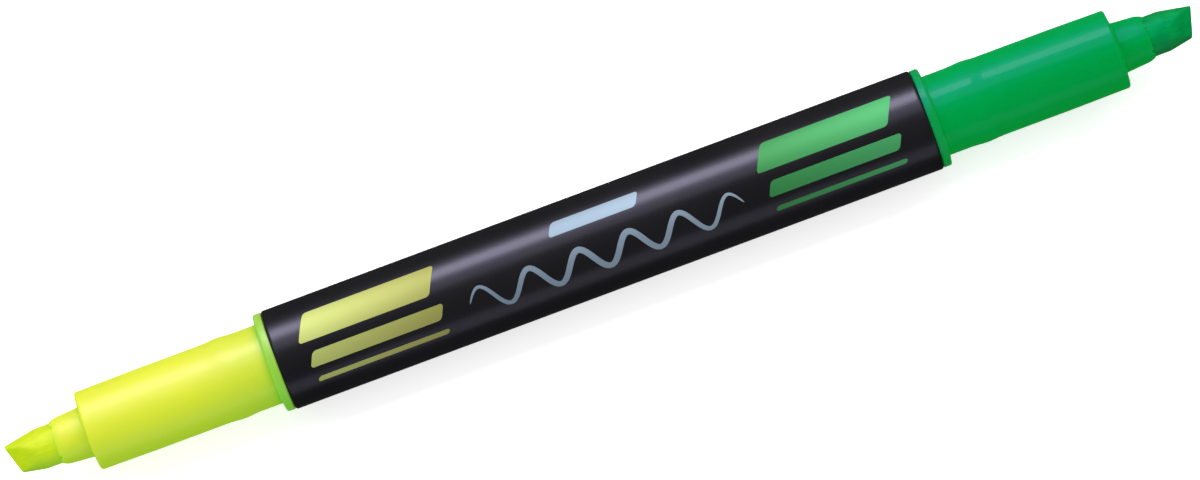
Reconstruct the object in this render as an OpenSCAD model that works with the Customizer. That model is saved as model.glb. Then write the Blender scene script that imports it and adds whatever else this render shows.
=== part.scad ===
// Double-ended highlighter: a black barrel with a yellow felt tip on one end, a green
// one on the other, and a pull-off cap for each. Millimetres, +Z up.
// The pen lies along X with its yellow end at -X. The origin is on the table, under the
// middle of the barrel. Both caps are drawn pulled off, in line with the pen.

/* [Barrel] */
// Outside diameter of the barrel
barrel_d = 12.4; // [12.3:0.05:12.4]
// Length of the barrel tube
barrel_l = 82.2; // [70:0.1:100]
// Wall thickness of the barrel tube
barrel_wall = 1.1; // [1.05:0.05:1.15]
// Radius that rounds the outside edge of each end
barrel_edge = 0.35; // [0.2:0.05:0.5]

/* [Tip section] */
// Diameter of the collar that the cap closes against
collar_d = 12.2; // [12:0.05:12.25]
// Length of the collar
collar_l = 1.2; // [0.8:0.1:1.6]
// Diameter of the nose behind its front taper
nose_d = 9.92; // [9.85:0.01:9.95]
// Diameter of the nose at its front edge
nose_front_d = 9.78; // [9.6:0.01:9.85]
// Length of the nose in front of the collar
nose_l = 23.1; // [21:0.1:24]
// Height of the low ring that the cap clicks over
bead_h = 0.12; // [0.05:0.01:0.13]
// Length of that ring along the nose
bead_l = 4.2; // [3:0.1:4.4]
// Distance from the collar to the middle of that ring
bead_x = 4.8; // [4:0.1:6]
// Diameter of the tip holder where it leaves the nose
holder_d = 6.2; // [6:0.05:6.3]
// Diameter of the tip holder in front, behind its sloping lip
holder_front_d = 5.8; // [5.75:0.05:6]
// Length of the tip holder
holder_l = 3.8; // [3:0.1:4.5]

/* [Felt tip] */
// Diameter of the felt rod
tip_d = 5; // [4.6:0.1:5]
// Length of felt that stands out of the holder, to its long corner
tip_out = 6; // [5:0.1:6.5]
// Width of the felt rod's cone where it reaches the long corner
tip_end_d = 3.5; // [3:0.1:4]
// Thickness of the writing edge
edge_t = 1; // [0.6:0.1:1.4]
// Length of each ground bevel
bevel_l = 3.4; // [3:0.1:4.5]
// Slant of the writing edge, in degrees
edge_slant = 17; // [5:1:30]
// Turn of the yellow tip in its holder, in degrees
yellow_turn = 13; // [-40:1:40]
// Turn of the green tip in its holder, in degrees
green_turn = 4; // [-40:1:40]
// Length of felt inside the pen, behind the holder's front
tip_in = 24; // [18:1:30]

/* [Ink reservoir] */
// Outside diameter of the wrapped reservoir
reservoir_d = 7.8; // [7:0.1:7.8]
// Thickness of the film that wraps it
film_t = 0.1; // [0.08:0.01:0.15]

/* [Caps] */
// Width of a cap across its flats
cap_flats = 12.4; // [12.4:0.1:12.8]
// Width of a cap across its rounded corners
cap_corners = 13.2; // [13:0.1:13.6]
// Free length in front of the felt tip inside a closed cap
tip_room = 1.5; // [1:0.1:3]
// Bore of a cap
cap_bore_d = 10.45; // [10.4:0.05:10.5]
// Thickness of a cap's closed end
cap_end_t = 1.2; // [1:0.1:1.5]
// Outside diameter of the inner cap that seals the tip
inner_cap_d = 8.6; // [8.2:0.1:8.8]
// Ribs that hold the inner cap
rib_count = 6; // [3:1:8]
// Distance that each cap is drawn pulled off its nose
cap_off = 40; // [0:1:60]

/* [Hidden] */

$fn = 96;
arc_steps = 6;                              // segments in a rounded edge
axis_z = cap_flats / 2;                     // height of the pen's axis above the table
barrel_r = barrel_d / 2;
barrel_half = barrel_l / 2;
bore_r = barrel_r - barrel_wall;
press = 0.02;                               // radial gap left in each pressed joint
seat = 0.05;                                // gap between faces that rest on each other
loose = 0.1;                                // gap round the parts that float inside the pen
bevel = 0.3;                                // small bevel on bores and pressed parts
overrun = 1;                                // how far a cutting shape runs past what it cuts

collar_x = barrel_half + seat;              // back face of the collar
nose_x = barrel_half + collar_l;            // front face of the collar
nose_end = nose_x + nose_l;                 // front face of the nose
holder_end = nose_end + holder_l;
tip_end = holder_end + tip_out;             // long corner of the felt tip

spigot_r = bore_r - press;                  // the part of a section inside the barrel
spigot_l = 11;
spigot_x = barrel_half - spigot_l;
catch_x = barrel_half - 5;                  // ring on the spigot that locks in the barrel
catch_h = 0.12;
catch_l = 1.2;
groove_h = catch_h + 0.03;                  // groove in the barrel that takes that ring
groove_l = catch_l + 0.1;
spigot_lead_l = 0.6;                        // sloping lead on the spigot's back end
spigot_lead_h = 0.4;
collar_edge = 0.3;
nose_edge = 0.35;
face_drop = 0.15;                           // fall of each front face towards its rim
nose_taper_l = 7;
holder_fillet = 0.25;
lip_l = 0.9;                                // sloping lip of the holder
lip_drop = 0.3;
tip_r = tip_d / 2;
tip_bore_r = tip_r + 0.03;
well_r = reservoir_d / 2 + loose;           // room for the reservoir inside a section
well_end = nose_end - 5;
well_bevel = 0.5;
vent_w = 0.6;                               // air grooves along the felt tip
vent_depth = 0.15;
vent_count = 4;
vent_start = 45;                            // angle of the first groove
tip_straight_l = 2;                         // felt between the holder and the start of its cone

divider_l = 14;
divider_web = 1.6;
reservoir_x = divider_web / 2 + seat;       // back end of the reservoir
reservoir_end = well_end - well_bevel - loose;
fibre_r = reservoir_d / 2 - film_t - press;
socket_r = tip_r + 0.05;                    // hole that the felt rod has pushed in the fibre
tip_back = holder_end - tip_in;
tip_point_l = 3;                            // cone on the buried end of the felt rod
tip_point_r = 0.2;                          // radius of that cone's blunt end
film_inset = 0.3;                           // fibre left bare at each end of the film

cap_r = cap_corners / 2;
cap_bore_r = cap_bore_d / 2;
cap_mouth_r = collar_d / 2 + 0.05;
mouth_edge = 0.15;                          // bevel round the outside of the mouth
mouth_l = 1.5;                              // slope from the mouth up to the cap's full width
lead_l = 0.4;                               // sloping lead into the bore
lead_h = 0.3;
click_r = nose_d / 2 + bead_h + 0.05;       // low ring in the bore, which passes the nose's
click_x = 1.9;
click_l = 1.2;
cap_end_round = 1.8;
slot_count = 3;                             // air slots through the cap's closed end
slot_turn = 40;                             // angle that one slot covers
slot_start = 30 - slot_turn / 2;            // puts each slot between two of six ribs

inner_cap_mouth = nose_l + seat;            // depth of the inner cap's mouth in the cap
inner_cap_r = inner_cap_d / 2;
inner_cap_bore_r = holder_d / 2 + 0.15;
inner_cap_floor = nose_l + holder_l + tip_out + tip_room;
inner_floor_t = 0.9;
inner_wall = 1.2;                           // wall round the hollow behind the inner cap's floor
inner_hollow_l = 0.65;
inner_edge = 0.2;                           // bevels on its mouth and on its back end
inner_back_edge = 0.4;
inner_corner = 0.5;                         // bevel in the corner of its floor
seal_x = inner_cap_mouth + 0.5;             // land that seals round the tip holder
seal_l = 0.5;
seal_h = 0.07;
inner_back = inner_cap_floor + inner_floor_t + inner_hollow_l;
cap_floor = inner_back + seat;
cap_l = cap_floor + cap_end_t;
rib_w = 0.8;
rib_x = inner_cap_mouth + 1;                // front end of the ribs
slot_in_r = inner_cap_r + loose;            // inner and outer side of an air slot
slot_out_r = cap_bore_r - bevel / 2;

// Points of an arc about [x, r], in the plane of a profile.
function arc(centre, radius, from, to) = [
    for (i = [0:arc_steps])
        let (a = from + (to - from) * i / arc_steps)
        centre + radius * [cos(a), sin(a)]
];

// Points of a low smooth ring about x, on a shaft or in a bore of radius r.
function ring(x, r, length, height) = [
    for (i = [0:2 * arc_steps])
        let (t = i / arc_steps - 1)
        [x + t * length / 2, r + height * (1 + cos(180 * t)) / 2]
];

// Turns a closed profile of [x, r] points about the pen's axis.
module turned(profile) {
    translate([0, 0, axis_z])
        rotate([0, 90, 0])
            rotate_extrude()
                polygon([for (p = profile) [p[1], p[0]]]);
}

// Places its children count times round the pen's axis.
module around(count, start = 0) {
    for (i = [0:count - 1])
        translate([0, 0, axis_z])
            rotate([start + i * 360 / count, 0, 0])
                children();
}

module barrel() {
    half_bore = concat(
        [[0, bore_r]],
        ring(catch_x, bore_r, groove_l, groove_h),
        [[barrel_half - bevel, bore_r], [barrel_half, bore_r + bevel]]
    );
    half_outside = concat(
        [[0, barrel_r]],
        arc([barrel_half - barrel_edge, barrel_r - barrel_edge], barrel_edge, 90, 0)
    );
    half = concat(half_outside, [for (i = [len(half_bore) - 1:-1:0]) half_bore[i]]);
    color("#17161c") union() {
        turned(half);
        mirror([1, 0, 0]) turned(half);
    }
}

// The web that keeps the two inks apart, with a cup each side for a reservoir's end.
module centre_divider() {
    end = divider_l / 2;
    web = divider_web / 2;
    color("#d8d8d2") turned([
        [-end, well_r], [-end, spigot_r - bevel], [-end + bevel, spigot_r],
        [end - bevel, spigot_r], [end, spigot_r - bevel], [end, well_r],
        [web, well_r], [web, 0], [-web, 0], [-web, well_r]
    ]);
}

// Spigot, collar, nose and tip holder, moulded in one piece.
module section() {
    nose_r = nose_d / 2;
    front_r = nose_front_d / 2;
    holder_r = holder_d / 2;
    holder_front_r = holder_front_d / 2;
    outside = concat(
        [[spigot_x, spigot_r - spigot_lead_h], [spigot_x + spigot_lead_l, spigot_r]],
        ring(catch_x, spigot_r, catch_l, catch_h),
        [[collar_x, spigot_r], [collar_x, collar_d / 2]],
        arc([nose_x - face_drop - collar_edge, collar_d / 2 - collar_edge], collar_edge, 90, 0),
        [[nose_x, nose_r]],
        ring(nose_x + bead_x, nose_r, bead_l, bead_h),
        [[nose_end - nose_taper_l, nose_r]],
        arc([nose_end - face_drop - nose_edge, front_r - nose_edge], nose_edge, 90, 0),
        arc([nose_end + holder_fillet, holder_r + holder_fillet], holder_fillet, 180, 270),
        [for (i = [0:arc_steps])
            let (t = i / arc_steps)
            [holder_end - lip_l * (1 - t), holder_front_r - lip_drop * pow(t, 1.5)]]
    );
    inside = [
        [holder_end, tip_bore_r], [well_end, tip_bore_r],
        [well_end - well_bevel, well_r], [spigot_x, well_r]
    ];
    difference() {
        turned(concat(outside, inside));
        around(vent_count, vent_start)
            translate([well_end - overrun, -vent_w / 2, 0])
                cube([holder_end - well_end + 2 * overrun, vent_w, tip_bore_r + vent_depth]);
    }
}

// Felt rod, ground to a chisel: two bevels and a slanted writing edge.
module felt_tip(turn) {
    cone_l = tip_out - tip_straight_l;
    end_r = tip_end_d / 2 - overrun * (tip_r - tip_end_d / 2) / cone_l;
    bevel_angle = atan((tip_r - edge_t / 2) / bevel_l);
    tool = 3 * tip_d;
    difference() {
        turned([
            [tip_back, 0], [tip_back, tip_point_r], [tip_back + tip_point_l, tip_r],
            [tip_end - cone_l, tip_r],
            [tip_end + overrun, end_r], [tip_end + overrun, 0]
        ]);
        translate([tip_end, 0, axis_z])
            rotate([turn, 0, 0]) {
                for (side = [0, 180])
                    rotate([side, 0, 0])
                        translate([0, -tool / 2, edge_t / 2])
                            rotate([0, bevel_angle, 0])
                                translate([-tool, 0, 0])
                                    cube([2 * tool, tool, tool]);
                translate([0, tip_end_d / 2, 0])
                    rotate([0, 0, -edge_slant])
                        translate([0, -tool, -tool / 2])
                            cube([tool, 2 * tool, tool]);
            }
    }
}

// Fibre core of a reservoir, with the hole that the felt rod has pushed in it.
module reservoir() {
    color("white") turned([
        [reservoir_x, 0], [reservoir_x, fibre_r], [reservoir_end, fibre_r],
        [reservoir_end, socket_r], [tip_back + tip_point_l, socket_r],
        [tip_back - loose, socket_r - tip_r + tip_point_r], [tip_back - loose, 0]
    ]);
}

module reservoir_film() {
    from = reservoir_x + film_inset;
    to = reservoir_end - film_inset;
    color("#e8eef2") turned([
        [from, fibre_r + press], [from, reservoir_d / 2],
        [to, reservoir_d / 2], [to, fibre_r + press]
    ]);
}

// Six-sided shell with a round bore, ribs that hold the inner cap, and air slots.
// Its mouth is at x = 0 here, and its closed end at x = cap_l.
module cap_shell() {
    outside = concat(
        [[0, 0], [0, cap_mouth_r - mouth_edge], [mouth_edge, cap_mouth_r], [mouth_l, cap_r]],
        arc([cap_l - cap_end_round, cap_r - cap_end_round], cap_end_round, 90, 0),
        [[cap_l, 0]]
    );
    bore = concat(
        [[-overrun, 0], [-overrun, cap_bore_r + lead_h], [0, cap_bore_r + lead_h], [lead_l, cap_bore_r]],
        ring(click_x, cap_bore_r, click_l, click_r - cap_bore_r),
        [[cap_floor - bevel, cap_bore_r], [cap_floor, cap_bore_r - bevel], [cap_floor, 0]]
    );
    union() {
        difference() {
            intersection() {
                turned(outside);
                translate([0, 0, axis_z])
                    rotate([0, 90, 0])
                        rotate([0, 0, 30])
                            cylinder(h = cap_l, d = cap_flats / cos(30), $fn = 6);
            }
            turned(bore);
            around(slot_count, slot_start)
                translate([cap_floor - overrun, 0, 0])
                    rotate([0, 90, 0])
                        rotate_extrude(angle = slot_turn)
                            translate([slot_in_r, 0])
                                square([slot_out_r - slot_in_r, cap_end_t + 2 * overrun]);
        }
        around(rib_count)
            translate([rib_x, -rib_w / 2, inner_cap_r + press])
                cube([cap_floor - rib_x, rib_w, cap_bore_r - inner_cap_r + bevel]);
    }
}

// Liner that closes over the tip holder and seals on the front of the nose.
module inner_cap() {
    mouth = inner_cap_mouth;
    floor_back = inner_cap_floor + inner_floor_t;
    outside = [
        [mouth, inner_cap_r - inner_edge], [mouth + inner_edge, inner_cap_r],
        [inner_back - inner_back_edge, inner_cap_r], [inner_back, inner_cap_r - inner_back_edge]
    ];
    hollow = [
        [inner_back, inner_cap_r - inner_wall], [floor_back, inner_cap_r - inner_wall],
        [floor_back, 0], [inner_cap_floor, 0]
    ];
    bore = [
        [inner_cap_floor, inner_cap_bore_r - inner_corner],
        [inner_cap_floor - inner_corner, inner_cap_bore_r],
        [seal_x + seal_l + bevel, inner_cap_bore_r],
        [seal_x + seal_l, inner_cap_bore_r - seal_h],
        [seal_x, inner_cap_bore_r - seal_h],
        [mouth, inner_cap_bore_r + bevel]
    ];
    turned(concat(outside, hollow, bore));
}

// Puts a cap's own parts in line with the nose, pulled off by cap_off.
module pulled_off() {
    translate([nose_x + cap_off, 0, 0]) children();
}

// The yellow end is the mirror image of the green one.
module yellow_side() {
    mirror([1, 0, 0]) children();
}

module green_section() { color("#00a04c") section(); }
module yellow_section() { color("#d8f03c") yellow_side() section(); }
module green_tip() { color("#009a44") felt_tip(green_turn); }
module yellow_tip() { color("#c8e600") yellow_side() felt_tip(yellow_turn); }
module green_reservoir() { reservoir(); }
module yellow_reservoir() { yellow_side() reservoir(); }
module green_reservoir_film() { reservoir_film(); }
module yellow_reservoir_film() { yellow_side() reservoir_film(); }
module green_cap() { color("#00a04c") pulled_off() cap_shell(); }
module yellow_cap() { color("#d8f03c") yellow_side() pulled_off() cap_shell(); }
module green_inner_cap() { color("#eef2ea") pulled_off() inner_cap(); }
module yellow_inner_cap() { color("#eef2ea") yellow_side() pulled_off() inner_cap(); }

barrel();
centre_divider();
yellow_section();
yellow_tip();
yellow_reservoir();
yellow_reservoir_film();
yellow_cap();
yellow_inner_cap();
green_section();
green_tip();
green_reservoir();
green_reservoir_film();
green_cap();
green_inner_cap();
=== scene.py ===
# Looks for the double-ended highlighter. The CAD model is the fixed frame, in metres: the pen
# lies along X on the table at Z = 0, with its yellow end at -X and its green end at +X.
import math

import bmesh
import bpy
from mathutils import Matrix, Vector, noise


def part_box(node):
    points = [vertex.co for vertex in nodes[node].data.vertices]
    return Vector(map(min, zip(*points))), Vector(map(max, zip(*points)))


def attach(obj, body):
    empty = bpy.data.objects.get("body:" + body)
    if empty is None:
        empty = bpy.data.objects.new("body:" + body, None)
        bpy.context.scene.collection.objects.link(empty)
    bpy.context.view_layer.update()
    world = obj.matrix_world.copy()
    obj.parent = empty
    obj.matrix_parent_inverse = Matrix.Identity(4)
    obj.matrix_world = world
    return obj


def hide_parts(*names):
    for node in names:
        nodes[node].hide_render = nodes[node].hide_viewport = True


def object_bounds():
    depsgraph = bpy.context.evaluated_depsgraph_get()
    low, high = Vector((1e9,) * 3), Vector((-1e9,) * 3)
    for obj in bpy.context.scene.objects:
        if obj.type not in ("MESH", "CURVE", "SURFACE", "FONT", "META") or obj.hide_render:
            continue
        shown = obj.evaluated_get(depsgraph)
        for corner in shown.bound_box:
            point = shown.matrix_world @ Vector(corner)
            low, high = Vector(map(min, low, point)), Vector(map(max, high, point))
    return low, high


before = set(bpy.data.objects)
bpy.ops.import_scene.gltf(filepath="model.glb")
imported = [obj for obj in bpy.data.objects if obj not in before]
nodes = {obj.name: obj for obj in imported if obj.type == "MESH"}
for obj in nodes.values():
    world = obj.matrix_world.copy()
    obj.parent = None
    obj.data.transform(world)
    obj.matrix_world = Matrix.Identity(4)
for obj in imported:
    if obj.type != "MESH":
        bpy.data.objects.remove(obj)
cad_low, cad_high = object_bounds()
scene = bpy.context.scene
MM = 0.001

# The pen's main sizes, from the frame.
barrel_low, barrel_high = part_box("barrel")
BARREL_HALF = barrel_high.x
BARREL_R = (barrel_high.y - barrel_low.y) / 2
AXIS_Z = (barrel_high.z + barrel_low.z) / 2
TABLE_Z = cad_low.z
ENDS = {"yellow": -1, "green": 1}       # direction of each end along X


# ---------------------------------------------------------------- camera, light and floor

CAMERA_DISTANCE = 1.13
VIEW_WIDTH = 142.6 * MM                 # width of the picture at the pen's axis
VIEW_CENTRE = (-0.25 * MM, 0.09 * MM)   # (x, y) under the middle of the picture
PEN_SLOPE = math.radians(20.4)          # the pen rises to the right in the picture
SENSOR = 36.0


def make_camera():
    data = bpy.data.cameras.new("camera")
    data.sensor_width = SENSOR
    data.lens = SENSOR * CAMERA_DISTANCE / VIEW_WIDTH
    data.clip_start = 0.05
    data.clip_end = 20
    camera = bpy.data.objects.new("camera", data)
    scene.collection.objects.link(camera)
    camera.location = (*VIEW_CENTRE, AXIS_Z + CAMERA_DISTANCE)
    camera.rotation_euler = (0, 0, -PEN_SLOPE)
    scene.camera = camera


def softbox(name, tilt, distance, width, depth, power, in_gloss=True):
    """An area light aimed at the pen, tilted by so many degrees from straight up towards +Y.
    It shows either in the gloss or in the body colour, so that each can be set by itself."""
    data = bpy.data.lights.new(name, "AREA")
    data.shape = "RECTANGLE"
    data.size = width
    data.size_y = depth
    data.energy = power
    light = bpy.data.objects.new(name, data)
    scene.collection.objects.link(light)
    angle = math.radians(tilt)
    light.location = (0, distance * math.sin(angle), AXIS_Z + distance * math.cos(angle))
    direction = Vector((0, 0, AXIS_Z)) - light.location
    light.rotation_euler = direction.to_track_quat("-Z", "Y").to_euler()
    light.visible_glossy = in_gloss
    light.visible_diffuse = not in_gloss


AMBIENT = 0.85
AMBIENT_IN_GLOSS = 0.034                # the studio round the lights is nearly black in reflections
FLOOR_HALF = 6.0
FLOOR_COLOUR = (0.92, 0.92, 0.92)
FLOOR_GLOW = 0.4                        # the table is a lit one, so shadows on it stay faint


def make_lights():
    softbox("key", tilt=60, distance=0.8, width=0.32, depth=0.30, power=2.1)
    softbox("key_halo", tilt=53, distance=0.82, width=1.8, depth=0.95, power=5.6)
    softbox("fill", tilt=-73, distance=0.8, width=1.8, depth=0.42, power=1.3)
    softbox("body_light", tilt=42, distance=0.8, width=1.8, depth=0.6, power=13.5, in_gloss=False)
    world = bpy.data.worlds.new("studio")
    world.use_nodes = True
    tree = world.node_tree
    path = tree.nodes.new("ShaderNodeLightPath")
    level = map_range(tree, path.outputs["Is Glossy Ray"], AMBIENT, AMBIENT_IN_GLOSS)
    background = tree.nodes["Background"]
    background.inputs["Color"].default_value = (1, 1, 1, 1)
    tree.links.new(level, background.inputs["Strength"])
    scene.world = world
    scene.view_settings.view_transform = "Standard"


def make_floor():
    mesh = bpy.data.meshes.new("floor")
    signs = [(-1, -1), (1, -1), (1, 1), (-1, 1)]
    corners = [(x * FLOOR_HALF, y * FLOOR_HALF, TABLE_Z) for x, y in signs]
    mesh.from_pydata(corners, [], [(0, 1, 2, 3)])
    floor = bpy.data.objects.new("floor", mesh)
    scene.collection.objects.link(floor)
    material, _, shader = new_material("floor_paper")
    shader.inputs["Base Color"].default_value = (*FLOOR_COLOUR, 1)
    shader.inputs["Roughness"].default_value = 0.9
    shader.inputs["Specular IOR Level"].default_value = 0.0
    shader.inputs["Emission Color"].default_value = (1, 1, 1, 1)
    shader.inputs["Emission Strength"].default_value = FLOOR_GLOW
    mesh.materials.append(material)
    floor.visible_glossy = False
    floor.visible_diffuse = False


# ---------------------------------------------------------------- material building blocks

def new_material(name):
    material = bpy.data.materials.new(name)
    material.use_nodes = True
    tree = material.node_tree
    return material, tree, tree.nodes["Principled BSDF"]


def object_coordinates(tree, scale):
    """Coordinates in metres times scale, fixed to the piece."""
    texture = tree.nodes.new("ShaderNodeTexCoord")
    mapping = tree.nodes.new("ShaderNodeMapping")
    mapping.inputs["Scale"].default_value = scale
    tree.links.new(texture.outputs["Object"], mapping.inputs["Vector"])
    return mapping.outputs["Vector"]


def noise_field(tree, scale, detail=3.0, stretch=(1, 1, 1)):
    node = tree.nodes.new("ShaderNodeTexNoise")
    node.inputs["Scale"].default_value = scale
    node.inputs["Detail"].default_value = detail
    tree.links.new(object_coordinates(tree, stretch), node.inputs["Vector"])
    return node.outputs["Fac"]


def ramp(tree, field, stops):
    node = tree.nodes.new("ShaderNodeValToRGB")
    elements = node.color_ramp.elements
    while len(elements) < len(stops):
        elements.new(0.5)
    for element, (place, colour) in zip(elements, stops):
        element.position = place
        element.color = (*colour, 1)
    tree.links.new(field, node.inputs["Fac"])
    return node.outputs["Color"]


def map_range(tree, field, low, high, start=0.0, stop=1.0):
    """Runs from low to high while the field goes from start to stop, and stays level outside."""
    node = tree.nodes.new("ShaderNodeMapRange")
    node.inputs["From Min"].default_value = start
    node.inputs["From Max"].default_value = stop
    node.inputs["To Min"].default_value = low
    node.inputs["To Max"].default_value = high
    tree.links.new(field, node.inputs["Value"])
    return node.outputs["Result"]


def add_share(tree, field, share, rest=None):
    """The field times share, plus the rest."""
    node = tree.nodes.new("ShaderNodeMath")
    node.operation = "MULTIPLY_ADD"
    node.inputs[1].default_value = share
    node.inputs[2].default_value = 0.0
    tree.links.new(field, node.inputs[0])
    if rest is not None:
        tree.links.new(rest, node.inputs[2])
    return node.outputs[0]


def place_along_pen(tree):
    """Distance from the pen's middle in metres, positive towards the green end."""
    texture = tree.nodes.new("ShaderNodeTexCoord")
    split = tree.nodes.new("ShaderNodeSeparateXYZ")
    tree.links.new(texture.outputs["Object"], split.inputs["Vector"])
    return split.outputs["X"]


def bump(tree, shader, fields):
    """Stacks bumps, each (field, height in metres)."""
    previous = None
    for field, height in fields:
        node = tree.nodes.new("ShaderNodeBump")
        node.inputs["Distance"].default_value = height
        tree.links.new(field, node.inputs["Height"])
        if previous is not None:
            tree.links.new(previous, node.inputs["Normal"])
        previous = node.outputs["Normal"]
    tree.links.new(previous, shader.inputs["Normal"])


def varied(colour, amount):
    return tuple(c * amount for c in colour)


# ---------------------------------------------------------------- mesh building blocks

def make_piece(name, mesh):
    """Turns a bmesh into an object with smooth shading."""
    data = bpy.data.meshes.new(name)
    mesh.to_mesh(data)
    mesh.free()
    data.shade_smooth()
    piece = bpy.data.objects.new(name, data)
    scene.collection.objects.link(piece)
    return piece


def skin_rings(mesh, rings):
    """Closes a row of vertex rings of equal length into one skin, with a face on each end."""
    count = len(rings[0])
    for low_ring, high_ring in zip(rings, rings[1:]):
        for j in range(count):
            k = (j + 1) % count
            mesh.faces.new((low_ring[j], low_ring[k], high_ring[k], high_ring[j]))
    mesh.faces.new(rings[-1])
    mesh.faces.new(rings[0])
    bmesh.ops.recalc_face_normals(mesh, faces=mesh.faces)


# ---------------------------------------------------------------- materials

def black_lacquer():
    """Glossy black tube with a faint purple cast, slight waviness and fine handling marks."""
    material, tree, shader = new_material("black_lacquer")
    base = (0.0066, 0.0065, 0.0070)
    cloud = noise_field(tree, 90)
    tree.links.new(ramp(tree, cloud, [(0.3, varied(base, 0.85)), (0.7, varied(base, 1.15))]),
                   shader.inputs["Base Color"])
    marks = noise_field(tree, 400, 6, (0.15, 1, 1))
    tree.links.new(map_range(tree, marks, 0.24, 0.32), shader.inputs["Roughness"])
    shader.inputs["Specular IOR Level"].default_value = 0.6
    shader.inputs["Specular Tint"].default_value = (0.75, 0.71, 1.0, 1)
    bump(tree, shader, [(noise_field(tree, 900, 2), 0.002 * MM)])
    return material


SCATTER_DEPTH = 0.6 * MM                # of light inside a section's plastic
CAP_SCATTER_DEPTH = 1.2 * MM
NOSE_FADE = 12 * MM                     # length of nose over which its colour settles
SWAY = 0.1                              # share of NOSE_FADE by which the flow marks shift the colour
COLLAR_END, ROOT_START, ROOT_END = 0.13, 0.16, 0.2      # shares of NOSE_FADE
SEAM_START, SEAM_END = 0.06 * MM, 0.25 * MM             # from the barrel's end, where the painted shade in the seam begins and ends
SEAM_SHADE_GLOW = 0.35                        # share of the painted glow left in the seam beside the tube, which paints shade there


def flow_marks(tree):
    """Faint long marks that the plastic's flow in the mould leaves."""
    return noise_field(tree, 60, 2, (0.25, 1, 1))


def moulded(name, base, glow, roughness, specular, tint, coat, coat_roughness, radius, depth):
    """Fluorescent polypropylene: soft sheen, a thin glossy skin, light scattered inside, and a painted glow,
    an even emission that lightens its shaded side."""
    material, tree, shader = new_material(name)
    shader.inputs["Base Color"].default_value = (*base, 1)
    skin = noise_field(tree, 1500, 4)
    tree.links.new(map_range(tree, skin, roughness - 0.03, roughness + 0.03), shader.inputs["Roughness"])
    shader.inputs["Specular IOR Level"].default_value = specular
    shader.inputs["Specular Tint"].default_value = (*tint, 1)
    shader.inputs["Coat Weight"].default_value = coat
    shader.inputs["Coat Roughness"].default_value = coat_roughness
    shader.inputs["Subsurface Weight"].default_value = 1.0
    shader.inputs["Subsurface Radius"].default_value = radius
    shader.inputs["Subsurface Scale"].default_value = depth
    # Painted glow: an even emission in the plastic's colour that stands in for light on its shaded side.
    shader.inputs["Emission Color"].default_value = (*glow, 1)
    shader.inputs["Emission Strength"].default_value = 1.0
    bump(tree, shader, [(skin, 0.0015 * MM), (flow_marks(tree), 0.01 * MM)])
    return material


def moulded_section(name, base, root, collar, **look):
    """The same plastic in front of the black tube: its colour goes from base along the nose to root at the
    collar, the collar has its own, and the painted glow fades in the seam beside the tube, which paints
    shade there."""
    material = moulded(name, base, **look)
    tree = material.node_tree
    shader = tree.nodes["Principled BSDF"]
    distance = tree.nodes.new("ShaderNodeMath")
    distance.operation = "ABSOLUTE"
    tree.links.new(place_along_pen(tree), distance.inputs[0])
    out = distance.outputs[0]
    along = map_range(tree, out, 0.0, 1.0, BARREL_HALF, BARREL_HALF + NOSE_FADE)
    between = tuple((a + b) / 2 for a, b in zip(base, root))
    stops = [(COLLAR_END, collar), (ROOT_START, root), (ROOT_END, between), (1.0, base)]
    colour = ramp(tree, add_share(tree, flow_marks(tree), SWAY, along), stops)
    tree.links.new(colour, shader.inputs["Base Color"])
    # Painted shade: the painted glow drops in the seam beside the tube.
    seam_shade = map_range(tree, out, SEAM_SHADE_GLOW, 1.0, BARREL_HALF + SEAM_START, BARREL_HALF + SEAM_END)
    tree.links.new(seam_shade, shader.inputs["Emission Strength"])
    return material


def felt(name, dry, wet, glow, tint):
    """Bonded fibres running along the rod, soaked unevenly with ink, with a painted glow: an even emission
    that lightens its shaded side.
    """
    material, tree, shader = new_material(name)
    fibres = noise_field(tree, 2600, 5, (0.18, 1, 1))
    soak = noise_field(tree, 500, 3)
    mix = add_share(tree, fibres, 0.5, add_share(tree, soak, 0.5))
    tree.links.new(ramp(tree, mix, [(0.35, wet), (0.65, dry)]), shader.inputs["Base Color"])
    shader.inputs["Roughness"].default_value = 0.48
    shader.inputs["Specular IOR Level"].default_value = 0.5
    shader.inputs["Specular Tint"].default_value = (*tint, 1)
    # Painted glow: an even emission that stands in for light on the felt.
    shader.inputs["Emission Color"].default_value = (*glow, 1)
    shader.inputs["Emission Strength"].default_value = 1.0
    bump(tree, shader, [(fibres, 0.03 * MM), (noise_field(tree, 6000, 2), 0.01 * MM)])
    return material


def fibre_core(name, base):
    material, tree, shader = new_material(name)
    strands = noise_field(tree, 3000, 4, (0.05, 1, 1))
    tree.links.new(ramp(tree, strands, [(0.3, varied(base, 0.7)), (0.7, base)]), shader.inputs["Base Color"])
    shader.inputs["Roughness"].default_value = 0.9
    bump(tree, shader, [(strands, 0.05 * MM)])
    return material


def plain_plastic(name, base, roughness):
    material, tree, shader = new_material(name)
    cloud = noise_field(tree, 300, 3)
    tree.links.new(ramp(tree, cloud, [(0.3, varied(base, 0.95)), (0.7, base)]), shader.inputs["Base Color"])
    tree.links.new(map_range(tree, cloud, roughness - 0.05, roughness + 0.05), shader.inputs["Roughness"])
    shader.inputs["Subsurface Weight"].default_value = 0.2
    shader.inputs["Subsurface Scale"].default_value = 0.8 * MM
    bump(tree, shader, [(noise_field(tree, 1200, 2), 0.002 * MM)])
    return material


def clear_film():
    material, tree, shader = new_material("clear_film")
    wrinkle = noise_field(tree, 500, 3, (0.2, 1, 1))
    tree.links.new(ramp(tree, wrinkle, [(0.3, (0.8, 0.83, 0.85)), (0.7, (0.92, 0.94, 0.95))]),
                   shader.inputs["Base Color"])
    shader.inputs["Roughness"].default_value = 0.2
    shader.inputs["Transmission Weight"].default_value = 0.8
    bump(tree, shader, [(wrinkle, 0.01 * MM)])
    return material


FLAKE_SHARE = 0.25                      # of the fine flake in a print's colour


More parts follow.
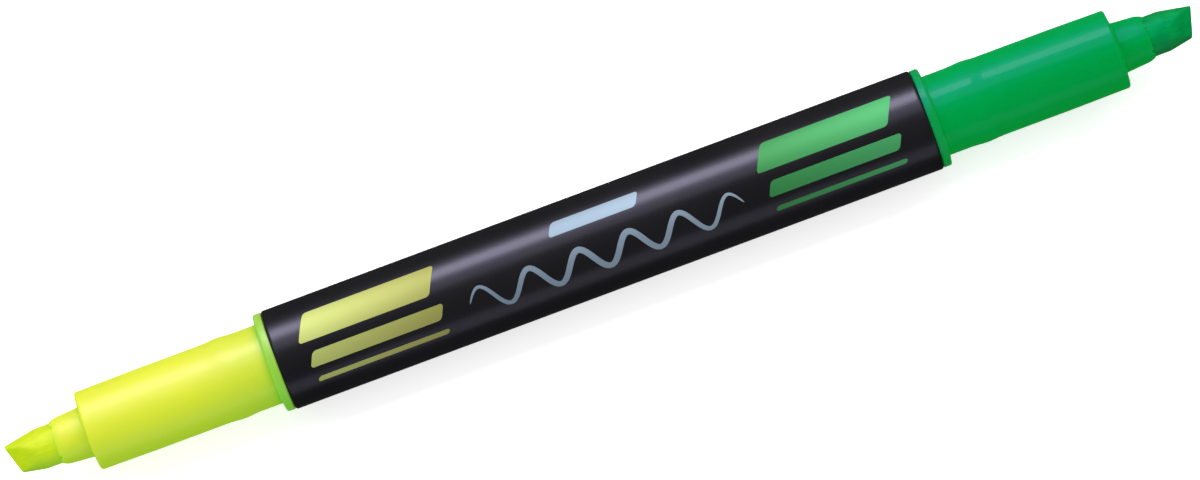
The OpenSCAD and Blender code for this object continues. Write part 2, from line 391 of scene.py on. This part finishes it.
def printed_ink(name, deep, light, deep_x, light_x, metallic):
    """Pearly print with a fine flake, deep in colour at deep_x and light at light_x."""
    material, tree, shader = new_material(name)
    along = map_range(tree, place_along_pen(tree), 0.0, 1.0, deep_x, light_x)
    flake = noise_field(tree, 9000, 2)
    blend = add_share(tree, flake, FLAKE_SHARE, along)
    tree.links.new(ramp(tree, blend, [(0.1, deep), (1.0, light)]), shader.inputs["Base Color"])
    tree.links.new(map_range(tree, flake, 0.45, 0.58), shader.inputs["Roughness"])
    shader.inputs["Metallic"].default_value = metallic
    bump(tree, shader, [(flake, 0.002 * MM)])
    return material


# ---------------------------------------------------------------- felt tips

# The rod's own shape, which is the CAD rod's.
BURIED_POINT = 3.0 * MM                 # cone on the rod's inner end, blunt at its very end
BURIED_END_R = 0.2 * MM
EDGE_THICKNESS = 1.0 * MM
BEVEL_LENGTH = 3.4 * MM
TAPER_LENGTH = 4.0 * MM
END_RADIUS = 1.75 * MM                  # of the taper, at the long corner
EDGE_SLANT = math.radians(17)
TURNS = {"yellow": math.radians(13), "green": math.radians(4)}
# Its finish and its mesh.
CORNER = 0.16 * MM                      # rounding of the ground edges
CORNER_DROP = 0.6                       # how far a ground corner falls, as a share of CORNER
TIP_OVERHANG = 2.0 * MM                 # length inside the holder that still has fine rings
BURIED_RINGS = 8
TIP_RINGS = 70
TIP_SPOKES = 128
FACE_RINGS = 14                         # across the writing face
FACE_SPACING = 0.8                      # under 1 crowds those rings towards its rim
RIM_PASSES = 12
FUZZ = 0.012 * MM
FUZZ_ALONG, FUZZ_ACROSS = 1.5, 6        # grain of the fuzz, which is long along the rod


def soft_min(a, b, rounding):
    """The smaller of two lengths, with the corner between them rounded."""
    h = max(rounding - abs(a - b), 0.0) / rounding
    return min(a, b) - h * h * rounding / 4


def add_fuzz(mesh):
    """Sinks the surface a little, unevenly, as felt does between its fibres."""
    mesh.normal_update()
    for vertex in mesh.verts:
        spot = vertex.co / MM
        grain = noise.noise(Vector((spot.x * FUZZ_ALONG, spot.y * FUZZ_ACROSS, spot.z * FUZZ_ACROSS)))
        vertex.co -= vertex.normal * FUZZ * (1 + grain)


def felt_tip(end):
    """The whole felt rod, ground to a chisel with rounded edges, in place of the CAD one."""
    side = ENDS[end]
    low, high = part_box(end + "_tip")
    rod = (high.z - low.z) / 2
    point = high.x if side > 0 else -low.x
    back = low.x if side > 0 else -high.x
    section_low, section_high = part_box(end + "_section")
    holder_end = section_high.x if side > 0 else -section_low.x
    root = holder_end - TIP_OVERHANG
    turn = TURNS[end]
    half_edge = EDGE_THICKNESS / 2
    slope = (rod - half_edge) / BEVEL_LENGTH

    def radius_at(x, angle):
        """Outside of the rod at x, in the direction angle from its long corner."""
        past = max(0.0, x - (point - TAPER_LENGTH))
        cone = rod - past * (rod - END_RADIUS) / TAPER_LENGTH
        plane = half_edge + max(0.0, point - x) * slope
        facing = abs(math.sin(angle))
        return soft_min(cone, plane / max(facing, 1e-4), CORNER * 2)

    def end_x(r, angle):
        return point - (END_RADIUS - r * math.cos(angle)) * math.tan(EDGE_SLANT)

    def place(x, r, angle):
        across = r * math.cos(angle)
        up = r * math.sin(angle)
        y = across * math.cos(turn) - up * math.sin(turn)
        z = across * math.sin(turn) + up * math.cos(turn)
        return Vector((side * x, y, AXIS_Z + z))

    def rim(angle):
        """Where the side meets the slanted face: (x, radius), found by going back and forth."""
        x = point
        for _ in range(RIM_PASSES):
            x = end_x(radius_at(x, angle), angle)
        return x, radius_at(x, angle)

    mesh = bmesh.new()
    angles = [2 * math.pi * j / TIP_SPOKES for j in range(TIP_SPOKES)]
    shoulder = back + BURIED_POINT
    rings = [[mesh.verts.new(place(back, BURIED_END_R, angle)) for angle in angles]]
    for i in range(BURIED_RINGS):
        x = shoulder + (root - shoulder) * i / BURIED_RINGS
        rings.append([mesh.verts.new(place(x, rod, angle)) for angle in angles])
    for i in range(TIP_RINGS + 1):
        share = i / TIP_RINGS
        ring = []
        for angle in angles:
            stop = rim(angle)[0] - CORNER * CORNER_DROP
            x = root + share * (stop - root)
            ring.append(mesh.verts.new(place(x, radius_at(x, angle), angle)))
        rings.append(ring)
    for i in range(1, FACE_RINGS):
        share = i / FACE_RINGS
        ring = []
        for angle in angles:
            rim_r = rim(angle)[1]
            r = rim_r * (1 - share) ** FACE_SPACING
            inward = rim_r - r
            x = end_x(r, angle) - max(0.0, CORNER - inward) ** 2 / CORNER * CORNER_DROP
            ring.append(mesh.verts.new(place(x, r, angle)))
        rings.append(ring)
    skin_rings(mesh, rings)
    add_fuzz(mesh)
    return make_piece(end + "_felt_tip", mesh)


# ---------------------------------------------------------------- prints on the barrel

PRINT_HEIGHT = 0.012 * MM               # above the barrel, and as far into it
CELL = 0.3 * MM                         # largest step round the barrel, which keeps a bar clear of it
WAVE_STEP = 0.12 * MM
WAVE_ROWS = 4
BAR_CORNER = 0.45 * MM
THIN_END = 0.01 * MM                    # half width at the very end of a print
SHARP_ANGLE = math.radians(40)          # edges sharper than this aren't shaded smooth


def on_barrel(x, arc, height):
    """A point on the barrel: arc is measured round it from its top line, towards +Y."""
    angle = arc / BARREL_R
    r = BARREL_R + height
    return Vector((x, r * math.sin(angle), AXIS_Z + r * math.cos(angle)))


def wrap_sheet(name, columns):
    """A thin closed print from columns of (x, arc) points, all with the same number of points."""
    mesh = bmesh.new()
    top = [[mesh.verts.new(on_barrel(x, a, PRINT_HEIGHT)) for x, a in column] for column in columns]
    under = [[mesh.verts.new(on_barrel(x, a, -PRINT_HEIGHT)) for x, a in column] for column in columns]
    wide, tall = len(columns), len(columns[0])
    for i in range(wide - 1):
        for j in range(tall - 1):
            mesh.faces.new((top[i][j], top[i + 1][j], top[i + 1][j + 1], top[i][j + 1]))
            mesh.faces.new((under[i][j + 1], under[i + 1][j + 1], under[i + 1][j], under[i][j]))
    for i in range(wide - 1):
        for j in (0, tall - 1):
            mesh.faces.new((top[i][j], top[i + 1][j], under[i + 1][j], under[i][j]))
    for j in range(tall - 1):
        for i in (0, wide - 1):
            mesh.faces.new((top[i][j], top[i][j + 1], under[i][j + 1], under[i][j]))
    bmesh.ops.recalc_face_normals(mesh, faces=mesh.faces)
    piece = make_piece(name, mesh)
    piece.data.set_sharp_from_angle(angle=SHARP_ANGLE)
    return piece


def bar_columns(centre, length, width, lean):
    """A straight bar along the pen, centred at (x, arc). Its ends lean and its corners are rounded."""
    half_l, half_w = length / 2, width / 2
    corner = min(BAR_CORNER, half_w)
    steps = math.ceil(length / CELL)
    rows = math.ceil(width / CELL)
    columns = []
    for i in range(steps + 1):
        s = -half_l * math.cos(math.pi * i / steps)
        inside = max(0.0, abs(s) - (half_l - corner))
        reach = half_w - corner + math.sqrt(max(corner ** 2 - inside ** 2, 0.0))
        reach = max(reach, THIN_END)
        column = []
        for j in range(rows + 1):
            w = reach * (2 * j / rows - 1)
            column.append((centre[0] + s + w * lean, centre[1] + w))
        columns.append(column)
    return columns


def wave_columns(start, stop, arc, swing, waves, width):
    """A wavy line from start to stop, crosswise to its own path, that thins at both ends."""
    steps = math.ceil((stop - start) / WAVE_STEP)
    bend = 2 * math.pi * waves / (stop - start)
    columns = []
    for i in range(steps + 1):
        share = i / steps
        x = start + share * (stop - start)
        phase = bend * (x - start)
        slope = swing * bend * math.cos(phase)
        long = math.hypot(1, slope)
        reach = max(width / 2 * math.sin(math.pi * share) ** WAVE_THINNING, THIN_END)
        middle = arc + swing * math.sin(phase)
        column = []
        for j in range(WAVE_ROWS + 1):
            w = reach * (2 * j / WAVE_ROWS - 1)
            column.append((x - w * slope / long, middle + w / long))
        columns.append(column)
    return columns


LINE_INSET = 12.2 * MM                  # from each end of the barrel to the middle of its lines
LINE_LENGTH = 16.5 * MM
LEAN = 0.45                             # slope of the ends of the lines and the bar
INK_NEAR, INK_FAR = 3 * MM, 22 * MM     # from each end of the barrel: light ink, deep ink
# Sample lines at each end, from the broadest: name, arc, width.
LINES = [
    ("broad", 2.75 * MM, 3.7 * MM),
    ("medium", -1.35 * MM, 1.9 * MM),
    ("fine", -4.05 * MM, 0.7 * MM),
]
WAVE_HALF = 17.3 * MM
WAVE_ARC = -1.7 * MM
WAVE_SWING = 1.6 * MM
WAVES = 5.5
WAVE_WIDTH = 0.75 * MM
WAVE_THINNING = 0.35                    # smaller keeps the wave wide until nearer its ends
BAR_ARC = 3.4 * MM
BAR_LENGTH = 11 * MM
BAR_WIDTH = 1.9 * MM
SILVER_HALF = 20 * MM                   # the silver's colour runs over twice this length


def print_lines(end, deep, light):
    """Plain sample lines beside one end of the barrel, lightest near that end."""
    side = ENDS[end]
    deep_x = side * (BARREL_HALF - INK_FAR)
    light_x = side * (BARREL_HALF - INK_NEAR)
    ink = printed_ink(end + "_print", deep, light, deep_x, light_x, metallic=0.35)
    for name, arc, width in LINES:
        centre = (side * (BARREL_HALF - LINE_INSET), arc)
        line = wrap_sheet(f"{end}_{name}_line", bar_columns(centre, LINE_LENGTH, width, LEAN))
        finish_piece(line, "pen", ink)


def print_middle():
    """A silver wave and bar between the two sets of lines."""
    deep, light = (0.17, 0.23, 0.31), (0.24, 0.31, 0.39)
    silver = printed_ink("silver_print", deep, light, -SILVER_HALF, SILVER_HALF, metallic=0.5)
    path = wave_columns(-WAVE_HALF, WAVE_HALF, WAVE_ARC, WAVE_SWING, WAVES, WAVE_WIDTH)
    finish_piece(wrap_sheet("silver_wave", path), "pen", silver)
    bar = bar_columns((0.0, BAR_ARC), BAR_LENGTH, BAR_WIDTH, LEAN)
    finish_piece(wrap_sheet("silver_bar", bar), "pen", silver)


# ---------------------------------------------------------------- putting it together

def finish_piece(piece, body, material):
    piece.data.materials.append(material)
    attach(piece, body)


def dress(node, material):
    """Gives a CAD node its finished material."""
    for slot in nodes[node].material_slots:
        slot.material = material


make_camera()
make_lights()
make_floor()

# Each section's painted glow is an emission that lightens its shaded side and turns it greener, in place of
# light.
plastics = {
    "yellow": moulded_section(
        "yellow_plastic", base=(0.50, 0.36, 0.028), root=(0.38, 0.29, 0.036), collar=(0.22, 0.24, 0.046),
        glow=(0.0, 0.31, 0.0), roughness=0.5, specular=1.0, tint=(1.0, 0.85, 0.9),
        coat=0.2, coat_roughness=0.22, radius=(1.0, 1.0, 0.5), depth=SCATTER_DEPTH),
    "green": moulded_section(
        "green_plastic", base=(0.0, 0.12, 0.039), root=(0.0, 0.14, 0.050), collar=(0.004, 0.105, 0.048),
        glow=(0.0, 0.18, 0.0), roughness=0.5, specular=0.85, tint=(0.0, 0.1, 1.0),
        coat=0.11, coat_roughness=0.07, radius=(0.5, 1.0, 1.0), depth=SCATTER_DEPTH),
}
# The caps carry a faint painted glow, an emission in place of light: their walls are thin and open inside,
# where a strong glow would look lit.
cap_plastics = {
    "yellow": moulded(
        "yellow_cap_plastic", base=(0.45, 0.48, 0.028),
        glow=(0.09, 0.13, 0.0), roughness=0.42, specular=1.0, tint=(1.0, 0.9, 0.8),
        coat=0.3, coat_roughness=0.15, radius=(1.0, 1.0, 0.5), depth=CAP_SCATTER_DEPTH),
    "green": moulded(
        "green_cap_plastic", base=(0.0, 0.22, 0.039),
        glow=(0.0, 0.05, 0.005), roughness=0.42, specular=0.8, tint=(0.2, 0.4, 1.0),
        coat=0.25, coat_roughness=0.1, radius=(0.5, 1.0, 1.0), depth=CAP_SCATTER_DEPTH),
}
# Each felt's painted glow is an emission that lightens its shaded side, in place of light.
felts = {
    "yellow": felt("yellow_felt", dry=(0.42, 0.33, 0.0), wet=(0.32, 0.27, 0.0),
                   glow=(0.0, 0.28, 0.0), tint=(1.0, 0.9, 0.6)),
    "green": felt("green_felt", dry=(0.0, 0.17, 0.036), wet=(0.0, 0.11, 0.029),
                  glow=(0.0, 0.06, 0.0), tint=(0.0, 0.4, 0.6)),
}
fibres = {
    "yellow": fibre_core("yellow_fibre", (0.75, 0.85, 0.10)),
    "green": fibre_core("green_fibre", (0.02, 0.40, 0.10)),
}
natural = plain_plastic("natural_plastic", (0.80, 0.80, 0.78), 0.45)
film = clear_film()

dress("barrel", black_lacquer())
dress("centre_divider", natural)
for end in ENDS:
    dress(end + "_section", plastics[end])
    dress(end + "_cap", cap_plastics[end])
    dress(end + "_inner_cap", natural)
    dress(end + "_reservoir", fibres[end])
    dress(end + "_reservoir_film", film)
    tip = felt_tip(end)
    finish_piece(tip, "pen", felts[end])
    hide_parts(end + "_tip")
print_lines("yellow", deep=(0.24, 0.235, 0.055), light=(0.36, 0.40, 0.11))
print_lines("green", deep=(0.02, 0.18, 0.04), light=(0.04, 0.28, 0.09))
print_middle()
